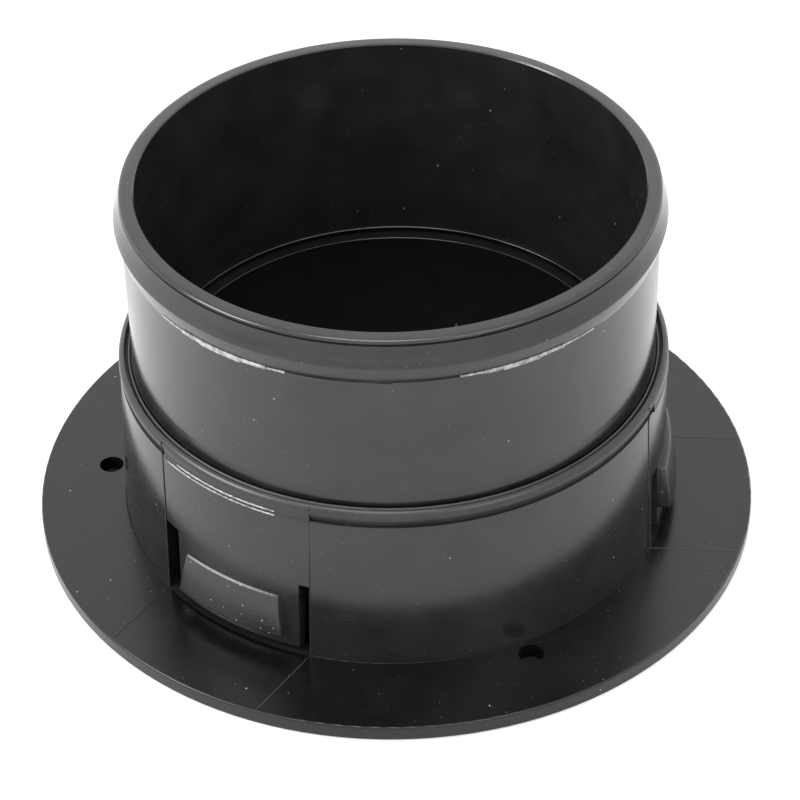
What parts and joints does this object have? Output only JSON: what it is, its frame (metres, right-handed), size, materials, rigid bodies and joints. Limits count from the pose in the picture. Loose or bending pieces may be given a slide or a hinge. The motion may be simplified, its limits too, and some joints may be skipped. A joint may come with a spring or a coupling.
{
  "type": "flanged duct outlet with non-return flaps",
  "caption": "Round flanged duct outlet: latched collar, swivel hose spigot with bead, and sprung non-return flaps across the bore.",
  "frame": {"origin": "centre of the flange's underside, where it rests on a flat surface or panel", "axes": "+Z along the duct's axis from the flange towards the hose, +X along the flap pin"},
  "size_m": [0.1414, 0.1414, 0.0745],
  "materials": {
    "moulded_black": "injection moulded ABS, satin gloss",
    "flap_black": "injection moulded polypropylene, matt",
    "seal_rubber": "black EPDM rubber",
    "pin_steel": "zinc plated steel",
    "spring_steel": "stainless spring wire"
  },
  "bodies": {
    "collar": {"flange_collar": "moulded_black", "spigot_seal": "seal_rubber", "flap_seat_seal": "seal_rubber", "hinge_pin": "pin_steel", "pin_push_nuts": "pin_steel", "flap_spring_rear": "spring_steel", "flap_spring_front": "spring_steel"},
    "spigot": {"hose_spigot": "moulded_black"},
    "latch_front_left": {"latch_front_left": "moulded_black"},
    "latch_right": {"latch_right": "moulded_black"},
    "latch_rear": {"latch_rear": "moulded_black"},
    "flap_rear": {"flap_rear": "flap_black"},
    "flap_front": {"flap_front": "flap_black"}
  },
  "joints": [
    {"name": "spigot_swivel", "type": "hinge", "parent": "collar", "child": "spigot", "pos_m": [0, 0, 0.0344], "axis": [0, 0, 1], "continuous": true},
    {"name": "latch_front_left_flex", "type": "hinge", "parent": "collar", "child": "latch_front_left", "pos_m": [-0.02942, -0.04202, 0.0179], "axis": [0.8192, -0.5736, 0], "range_deg": [0, 11], "stiffness_Nm_per_rad": 0.6},
    {"name": "latch_right_flex", "type": "hinge", "parent": "collar", "child": "latch_right", "pos_m": [0.0511, -0.00447, 0.0179], "axis": [0.0872, 0.9962, 0], "range_deg": [0, 11], "stiffness_Nm_per_rad": 0.6},
    {"name": "latch_rear_flex", "type": "hinge", "parent": "collar", "child": "latch_rear", "pos_m": [-0.02168, 0.04649, 0.0179], "axis": [-0.9063, -0.4226, 0], "range_deg": [0, 11], "stiffness_Nm_per_rad": 0.6},
    {"name": "flap_rear_swing", "type": "hinge", "parent": "collar", "child": "flap_rear", "pos_m": [0, 0, 0.031], "axis": [1, 0, 0], "range_deg": [0, 80], "stiffness_Nm_per_rad": 0.004, "springref_deg": -34.38, "deforming": ["flap_spring_rear"]},
    {"name": "flap_front_swing", "type": "hinge", "parent": "collar", "child": "flap_front", "pos_m": [0, 0, 0.031], "axis": [-1, 0, 0], "range_deg": [0, 80], "stiffness_Nm_per_rad": 0.004, "springref_deg": -34.38, "deforming": ["flap_spring_front"]}
  ]
}
